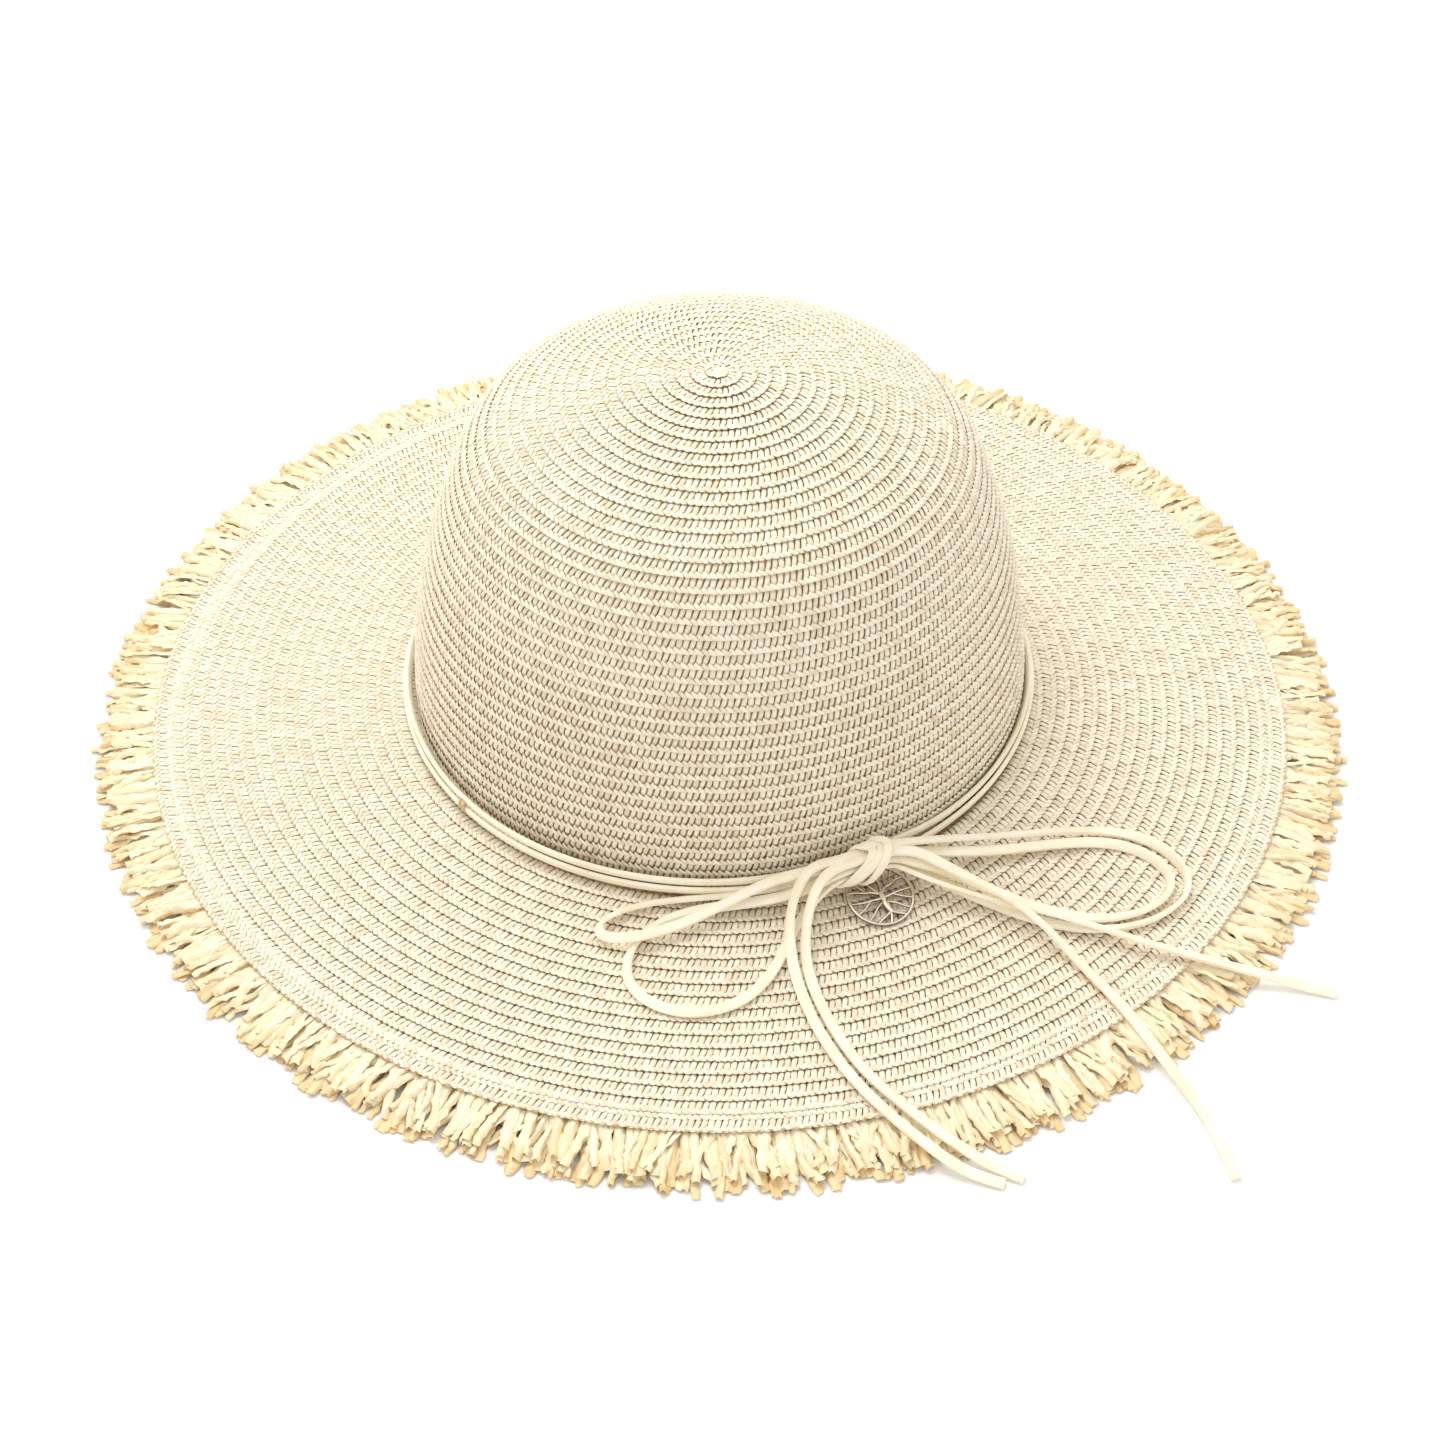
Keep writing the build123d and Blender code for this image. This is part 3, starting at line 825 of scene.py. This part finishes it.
def round_crown(radius, height, slack, lift):
    """Points of a ring round the crown: slack at the front left, and lifted over the jump ring."""
    ring = []
    for number in range(ring_points):
        turn = math.tau * number / ring_points
        off = radius + slack * max(0.0, math.cos(turn - slack_side)) ** 3
        up = height + lift * max(0.0, math.cos(turn - jump_ring_side)) ** 50
        ring.append((off * math.cos(turn), off * math.sin(turn), up))
    return ring


for name, node, height, radius, slack, lift in (
    ("band_lace_below", "band_lace_lower", 0.0188, 0.0976, 0.0022, 0.0),
    ("band_lace_above", "band_lace_upper", 0.0215, 0.0967, 0.0024, 0.0024),
):
    route = round_crown(radius, height, slack, lift)
    band = lace_on(lace_line(name, route, closed=True, tilts=[band_tilt] * len(route)))
    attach(band, "hat")
    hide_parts(node)


# ---- Suede laces: loops and tails of the bow ----
# Two doubled laces make the bow, so each side has a loop of two laces and two cut ends. They lie free on the
# brim. Suede this thin is limp, and it turns on its edge where it bends round.
lace_routes = {
    "bow_loop_left_upper": [
        (0.03616, -0.0954, 0.0243), (0.0332, -0.0967, 0.0243), (0.028, -0.0978, 0.0234),
        (0.019, -0.0988, 0.0212), (0.006, -0.1001, 0.019), (-0.008, -0.1003, 0.0177),
        (-0.021, -0.1015, 0.017), (-0.0305, -0.1052, 0.0166), (-0.0355, -0.11, 0.0164),
        (-0.0335, -0.1153, 0.017), (-0.025, -0.116, 0.0176), (-0.0135, -0.1118, 0.0174),
        (-0.0025, -0.107, 0.0194), (0.0075, -0.1028, 0.0226), (0.015, -0.1006, 0.0252),
        (0.022, -0.0993, 0.0266), (0.0283, -0.098, 0.0271), (0.0332, -0.0967, 0.0268),
        (0.03616, -0.0954, 0.0268),
    ],
    "bow_loop_left_lower": [
        (0.03719, -0.0977, 0.0268), (0.0342, -0.099, 0.0268), (0.0286, -0.1014, 0.0248),
        (0.02, -0.1028, 0.0214), (0.007, -0.1034, 0.0186), (-0.0065, -0.1038, 0.0168),
        (-0.0165, -0.1072, 0.016), (-0.0235, -0.1132, 0.0147), (-0.0268, -0.121, 0.0139),
        (-0.026, -0.1295, 0.0128), (-0.0195, -0.1365, 0.012), (-0.0085, -0.14, 0.0117),
        (0.0035, -0.1375, 0.0121), (0.012, -0.1305, 0.0129), (0.0176, -0.1208, 0.0142),
        (0.0205, -0.1125, 0.0152), (0.0246, -0.1058, 0.0174), (0.0296, -0.1012, 0.0213),
        (0.0342, -0.099, 0.0243), (0.03719, -0.0977, 0.0243),
    ],
    "bow_tail_left_inner": [
        (0.03616, -0.0954, 0.0293), (0.0332, -0.0967, 0.0293), (0.0293, -0.0982, 0.03),
        (0.025, -0.1006, 0.0289), (0.0218, -0.105, 0.025), (0.0202, -0.1105, 0.0214),
        (0.02, -0.117, 0.0179), (0.0212, -0.126, 0.0146), (0.0242, -0.1365, 0.0124),
        (0.029, -0.148, 0.0105), (0.0365, -0.1605, 0.0086), (0.0455, -0.1715, 0.0074),
        (0.0545, -0.1803, 0.006), (0.062, -0.1865, 0.0043), (0.07, -0.1902, 0.0017),
        (0.0775, -0.1925, 0.0013),
    ],
    "bow_tail_left_outer": [
        (0.03719, -0.0977, 0.0293), (0.0344, -0.0989, 0.0293), (0.0308, -0.1014, 0.0289),
        (0.0273, -0.1052, 0.0258), (0.0252, -0.1108, 0.021), (0.0244, -0.1175, 0.0167),
        (0.0252, -0.126, 0.014), (0.028, -0.1355, 0.0123), (0.033, -0.147, 0.0107),
        (0.0402, -0.1585, 0.0088), (0.0495, -0.1686, 0.0076), (0.0592, -0.1772, 0.0059),
        (0.067, -0.183, 0.0045), (0.0752, -0.1876, 0.0018), (0.083, -0.1905, 0.0013),
    ],
    "bow_loop_right_outer": [
        (0.04573, -0.09121, 0.0293), (0.049, -0.0898, 0.0293), (0.056, -0.087, 0.0279),
        (0.067, -0.0824, 0.0246), (0.08, -0.0776, 0.0206), (0.097, -0.072, 0.017), (0.113, -0.0683, 0.0139),
        (0.124, -0.0682, 0.0117), (0.1325, -0.072, 0.0104), (0.138, -0.0795, 0.0092),
        (0.1388, -0.088, 0.0086), (0.133, -0.096, 0.0086), (0.1225, -0.1028, 0.009),
        (0.108, -0.1062, 0.0103), (0.092, -0.104, 0.0122), (0.078, -0.0986, 0.0144),
        (0.066, -0.0942, 0.0176), (0.056, -0.0912, 0.0219), (0.049, -0.0898, 0.0243),
        (0.04573, -0.09121, 0.0243),
    ],
    "bow_loop_right_inner": [
        (0.04573, -0.09121, 0.0268), (0.049, -0.0898, 0.0268), (0.056, -0.0878, 0.0246),
        (0.067, -0.0847, 0.0212), (0.082, -0.0804, 0.0174), (0.099, -0.0752, 0.015),
        (0.114, -0.0718, 0.0127), (0.125, -0.0736, 0.011), (0.132, -0.0795, 0.0099),
        (0.134, -0.087, 0.0092), (0.129, -0.0944, 0.0092), (0.1195, -0.0998, 0.0098),
        (0.1075, -0.1024, 0.0112), (0.0925, -0.1002, 0.0135), (0.078, -0.0956, 0.017),
        (0.066, -0.0924, 0.021), (0.0565, -0.0923, 0.025), (0.05, -0.092, 0.0268),
        (0.04674, -0.0935, 0.0268),
    ],
    "bow_tail_right_far": [
        (0.04674, -0.0935, 0.0243), (0.05, -0.0921, 0.0243), (0.0564, -0.0952, 0.0229),
        (0.067, -0.098, 0.02), (0.083, -0.1012, 0.0166), (0.103, -0.105, 0.014), (0.124, -0.1112, 0.0102),
        (0.1435, -0.1152, 0.0066), (0.156, -0.1175, 0.0045), (0.167, -0.1194, 0.0017),
        (0.178, -0.1225, 0.0013),
    ],
    "bow_tail_right_near": [
        (0.04674, -0.0935, 0.0293), (0.05, -0.0921, 0.0293), (0.057, -0.0912, 0.0281),
        (0.064, -0.0928, 0.025), (0.073, -0.097, 0.0224), (0.0835, -0.1018, 0.0202),
        (0.0935, -0.1084, 0.0156), (0.1035, -0.1185, 0.0099), (0.1135, -0.131, 0.0077),
        (0.121, -0.1435, 0.006), (0.1265, -0.1535, 0.0044), (0.1323, -0.162, 0.0016),
        (0.1378, -0.176, 0.0014), (0.1407, -0.1905, 0.0013),
    ],
}

# how far each lace is turned about its own length, point by point from its exit
lace_turns = {
    "bow_loop_left_upper": (0, 0, 10, 20, 30, 30, 30, 40, 60, 60, 30, 10, 0, 0, 10, 20, 20, 10, 0),
    "bow_loop_left_lower": (
        0, 0, -10, -20, -20, 0, 20, 40, 50, 40, 30, 20, 20, 10, 0, -20, -30, -20, -10, 0,
    ),
    "bow_tail_left_inner": (0, 0, 0, 10, 30, 50, 40, 20, 10, 0, -10, -10, 0, 10, 20, 10),
    "bow_tail_left_outer": (0, 0, 0, 20, 40, 40, 20, 0, -10, -20, -10, 0, 10, 20, 10),
    "bow_loop_right_outer": (
        0, 0, -10, -20, -30, -20, -10, 20, 50, 70, 70, 50, 30, 10, 0, -10, -20, -10, 0, 0,
    ),
    "bow_loop_right_inner": (0, 0, 10, 20, 20, 10, 30, 60, 70, 60, 40, 20, 0, -10, -10, -20, -20, -10, 0),
    "bow_tail_right_far": (-10, -30, -45, -50, -45, -35, -20, -10, 0, 10, 20),
    "bow_tail_right_near": (0, 10, 20, 10, -10, -30, -30, -20, 0, 20, 20, 10, 0, 10),
}


def middle_of(holder):
    """The points that a lace's middle follows, from its line without the section."""
    bare = bpy.data.meshes.new_from_object(holder)
    middle = [vertex.co[:] for vertex in bare.vertices]
    bpy.data.meshes.remove(bare)
    return middle


for node, route in lace_routes.items():
    line = lace_line(node + "_lace", route, tilts=lace_turns[node])
    middle = middle_of(line)
    lace = lace_on(line)
    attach(lace, "hat")
    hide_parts(node)


# ---- Suede laces: the knot ----
# The strands pass side by side through the knot, in two columns of three. Three flat turns of lace go round
# them on a slant, from the upper right to the lower left, and the right-hand turn is pulled up as a collar.
knot_turn = -66.3
knot_radius, knot_level = 0.1031, 0.0268
knot_outwards = Vector((math.cos(math.radians(knot_turn)), math.sin(math.radians(knot_turn)), 0))
knot_along = Vector((-knot_outwards.y, knot_outwards.x, 0))
knot_middle = knot_outwards * knot_radius + Vector((0, 0, knot_level))
strand_gap, strand_half = 0.0025, 0.0058

strands = []
for column in (-0.5, 0.5):
    for level in (-1, 0, 1):
        centre = knot_middle + knot_outwards * (column * strand_gap) + Vector((0, 0, level * strand_gap))
        reach = knot_along * strand_half
        strand_line = lace_line("strand", [centre - reach, centre, centre + reach], tilts=(8, -6, 5))
        strands.append(lace_on(strand_line))
core = merge("bow_knot_strands", strands)
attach(core, "hat")
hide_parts("bow_knot_core")


turn_points, turn_width = 16, 0.76


def slanted_turn(name, depth, height, slant, shift, bulge):
    """A closed turn of lace round the strands, drawn lying flat and then stood up across the knot."""
    ring = []
    for number in range(turn_points):
        angle = math.tau * number / turn_points
        across, up = math.cos(angle), math.sin(angle)
        square = (across**4 + up**4) ** -0.25
        ring.append((
            (depth + bulge * max(0.0, across)) * across * square,
            height * up * square,
            shift + slant * up * (1.0 if across > -0.2 else 0.6),
        ))
    turn = lace_on(lace_line(name, ring, closed=True, tilts=[90] * turn_points, width=turn_width))
    turn.rotation_euler = (math.radians(90), 0, math.radians(knot_turn))
    turn.location = knot_middle
    settle(turn)
    return turn


for name, node, depth, height, slant, shift, bulge in (
    ("knot_turn_left", "bow_knot_wrap_left", 0.0036, 0.0048, -0.0058, 0.0030, 0.0003),
    ("knot_turn_middle", "bow_knot_wrap_middle", 0.0037, 0.0050, -0.0060, 0.0006, 0.0007),
    ("knot_turn_collar", "bow_knot_collar", 0.0039, 0.0060, -0.0044, -0.0028, 0.0014),
):
    turn = slanted_turn(name, depth, height, slant, shift, bulge)
    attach(turn, "hat")
    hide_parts(node)
bpy.data.objects.remove(lace_section)


# ---- Bar tack ----
# Seven passes of tan thread, close side by side, go over the two laces of the band at the front left. They
# hold the laces to the crown.
tack_turn, tack_radius, tack_level = math.radians(-140), 0.1004, 0.0202
tack_thread_radius, tack_length, pass_gap = 0.00022, 0.0046, 0.0004
bpy.ops.mesh.primitive_cylinder_add(vertices=8, radius=tack_thread_radius, depth=tack_length)
tack_thread = bpy.context.object
settle(tack_thread)
edit_where(tack_thread, lambda place: True)
bpy.ops.mesh.subdivide(number_cuts=3)
edit_where(tack_thread, lambda place: abs(place.z) > 0.0018)
bpy.ops.transform.translate(value=(-0.0007, 0, 0))
bpy.ops.object.mode_set(mode="OBJECT")
passes = [tack_thread]
for number in (-3, -2, -1, 1, 2, 3):
    extra = tack_thread.copy()
    extra.data = tack_thread.data.copy()
    bpy.context.collection.objects.link(extra)
    extra.location.y = number * pass_gap
    extra.rotation_euler.x = 0.05 * number
    passes.append(extra)
tack = merge("band_bar_tack", passes)
bpy.ops.object.shade_smooth()
tack.rotation_euler.z = tack_turn
tack.location = (tack_radius * math.cos(tack_turn), tack_radius * math.sin(tack_turn), tack_level)
settle(tack)
tack.data.materials.append(thread_finish)
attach(tack, "hat")
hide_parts("band_tack")


# ---- Jump ring and charm ----
# A small wire ring hangs on the lower lace of the band. The charm on it is a cast disc in aged rose gold: a
# thin rim, and inside it a tree whose trunk and branches are round and polished on top. Their sides are
# darker, partly patina and partly painted shade.
charm_tilt = math.radians(14.5)
ring_wire, ring_size = 0.0004, 0.0023
charm_size, rim_half = 0.0097, 0.0005
ring_place_radius, ring_level = 0.0978, 0.0188
rim_place_radius = 0.0991
charm_outwards = Vector((math.cos(jump_ring_side), math.sin(jump_ring_side), 0))
charm_sideways = Vector((-charm_outwards.y, charm_outwards.x, 0))
down_slope = charm_outwards * math.cos(charm_tilt) - Vector((0, 0, math.sin(charm_tilt)))
charm_middle = charm_outwards * rim_place_radius + Vector((0, 0, ring_level)) + down_slope * charm_size

aged_gold, gold_nodes, gold_shader = new_finish("aged_rose_gold", 0.3, Metallic=1.0)
gold_place = add_node(gold_nodes, "TexCoord")
gold_spots = add_node(gold_nodes, "TexNoise", {"Scale": 700.0, "Detail": 5.0, "Roughness": 0.65})
gold_ramp = add_node(gold_nodes, "ValToRGB")
ramp_colours(gold_ramp, [
    (0.3, shade(196, 166, 140)), (0.42, shade(246, 232, 214)), (0.6, shade(255, 250, 240)),
])
gold_gloss = add_node(gold_nodes, "MapRange", {1: 0.35, 2: 0.65, 3: 0.42, 4: 0.18})
# faces turned up stay bright and the sides are darker: patina together with painted shade for dark
# reflections
gold_facing = add_node(gold_nodes, "SeparateXYZ")
gold_polish_and_shade_mask = add_node(gold_nodes, "MapRange", {1: 0.3, 2: 0.8, 3: 0.0, 4: 1.0})
gold_patina_and_shade = add_node(gold_nodes, "Mix", data_type="RGBA")
gold_patina_and_shade.inputs["A"].default_value = shade(150, 116, 88)
gold_relief = add_node(gold_nodes, "Bump", {"Strength": 0.4, "Distance": 0.00008})
wire(gold_nodes, (
    (gold_place, "Normal", gold_facing, 0),
    (gold_facing, "Z", gold_polish_and_shade_mask, 0),
    (gold_polish_and_shade_mask, 0, gold_patina_and_shade, "Factor"),
    (gold_ramp, "Color", gold_patina_and_shade, "B"),
    (gold_place, "Object", gold_spots, "Vector"),
    (gold_spots, "Fac", gold_ramp, "Fac"),
    (gold_patina_and_shade, "Result", gold_shader, "Base Color"),
    (gold_spots, "Fac", gold_gloss, "Value"),
    (gold_gloss, "Result", gold_shader, "Roughness"),
    (gold_spots, "Fac", gold_relief, "Height"),
    (gold_relief, "Normal", gold_shader, "Normal"),
))

bpy.ops.mesh.primitive_torus_add(
    major_radius=ring_size, minor_radius=ring_wire, major_segments=40, minor_segments=12
)
jump_ring = bpy.context.object
jump_ring.name = "charm_jump_ring"
bpy.ops.object.shade_smooth()
jump_ring.rotation_euler = (math.radians(90), 0, jump_ring_side)
jump_ring.location = charm_outwards * ring_place_radius + Vector((0, 0, ring_level))
settle(jump_ring)
jump_ring.data.materials.append(aged_gold)
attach(jump_ring, "jump_ring")
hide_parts("jump_ring")


def tree_bar(route, thick, thin):
    """A branch of round wire that tapers from thick to thin, drawn in the charm's plane in millimetres."""
    line = bpy.data.curves.new("branch", "CURVE")
    line.dimensions = "3D"
    line.resolution_u = 4
    line.bevel_depth = 1.0
    line.bevel_resolution = 2
    line.use_fill_caps = True
    spline = line.splines.new("NURBS")
    spline.points.add(len(route) - 1)
    for number, (point, (x, y)) in enumerate(zip(spline.points, route)):
        point.co = (x * millimetre, y * millimetre, 0, 1)
        point.radius = (thick + (thin - thick) * number / (len(route) - 1)) * millimetre
    spline.order_u = 3
    spline.use_endpoint_u = True
    holder = bpy.data.objects.new("branch", line)
    bpy.context.collection.objects.link(holder)
    pick(holder)
    bpy.ops.object.convert(target="MESH")
    return bpy.context.object


bpy.ops.mesh.primitive_torus_add(
    major_radius=charm_size, minor_radius=rim_half, major_segments=96, minor_segments=12
)
branches = [bpy.context.object]
for route, thick, thin in (
    ([(0.9, -6.4), (-0.2, -3.6), (0.5, -1.4), (0.4, 0.4)], 1.0, 0.75),
    ([(0.7, -6.2), (0.9, -3.4), (-0.2, -1.2), (0.2, 0.6)], 0.8, 0.6),
    ([(0.6, -6.0), (-1.6, -7.0), (-4.4, -8.2)], 0.6, 0.34),
    ([(0.8, -6.0), (2.4, -7.2), (4.4, -8.3)], 0.6, 0.34),
    ([(0.6, -5.8), (0.2, -7.6), (-0.8, -9.3)], 0.5, 0.32),
    ([(0.3, 0.2), (-1.6, 1.8), (-4.0, 2.2), (-6.6, 3.6), (-8.6, 3.8)], 0.62, 0.34),
    ([(-3.8, 2.3), (-4.4, 4.4), (-6.4, 6.6)], 0.45, 0.3),
    ([(0.2, 0.4), (-1.2, 3.0), (-2.4, 5.0), (-2.6, 8.9)], 0.55, 0.32),
    ([(-2.0, 4.4), (-3.8, 6.0), (-4.6, 8.0)], 0.4, 0.28),
    ([(0.5, 0.3), (2.2, 2.2), (4.6, 2.4), (6.8, 3.6), (8.7, 3.4)], 0.62, 0.34),
    ([(4.4, 2.4), (4.8, 4.6), (6.6, 6.5)], 0.45, 0.3),
    ([(0.5, 0.6), (1.4, 3.4), (1.2, 6.2), (2.4, 9.0)], 0.55, 0.32),
    ([(1.3, 5.0), (0.3, 6.8), (-1.3, 8.1), (-1.5, 9.3)], 0.4, 0.28),
    ([(2.9, 3.0), (3.4, 5.4), (4.6, 7.9)], 0.42, 0.28),
    ([(0.1, -1.2), (-2.6, -0.6), (-5.4, -0.8), (-9.2, 0.2)], 0.55, 0.32),
    ([(-3.6, -0.7), (-5.6, -2.6), (-8.6, -3.6)], 0.42, 0.3),
    ([(0.0, -2.2), (-2.4, -3.2), (-4.0, -5.0), (-6.6, -6.6)], 0.42, 0.3),
    ([(0.6, -1.0), (3.0, -0.8), (5.6, -0.4), (9.3, -0.6)], 0.55, 0.32),
    ([(3.8, -0.7), (5.8, -2.4), (8.6, -3.8)], 0.42, 0.3),
    ([(0.9, -2.4), (3.2, -3.6), (4.8, -5.2), (6.6, -6.7)], 0.42, 0.3),
):
    branches.append(tree_bar(route, thick * 0.9, thin * 1.25))
charm = merge("tree_of_branches_charm", branches)
bpy.ops.object.shade_smooth()
charm.scale = (1, 1, 1.1)
settle(charm)
charm.rotation_mode = "QUATERNION"
placing = Matrix((charm_sideways, -down_slope, charm_sideways.cross(-down_slope))).transposed()
charm.rotation_quaternion = placing.to_quaternion()
charm.location = charm_middle
settle(charm)
charm.data.materials.append(aged_gold)
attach(charm, "charm")
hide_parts("tree_charm")
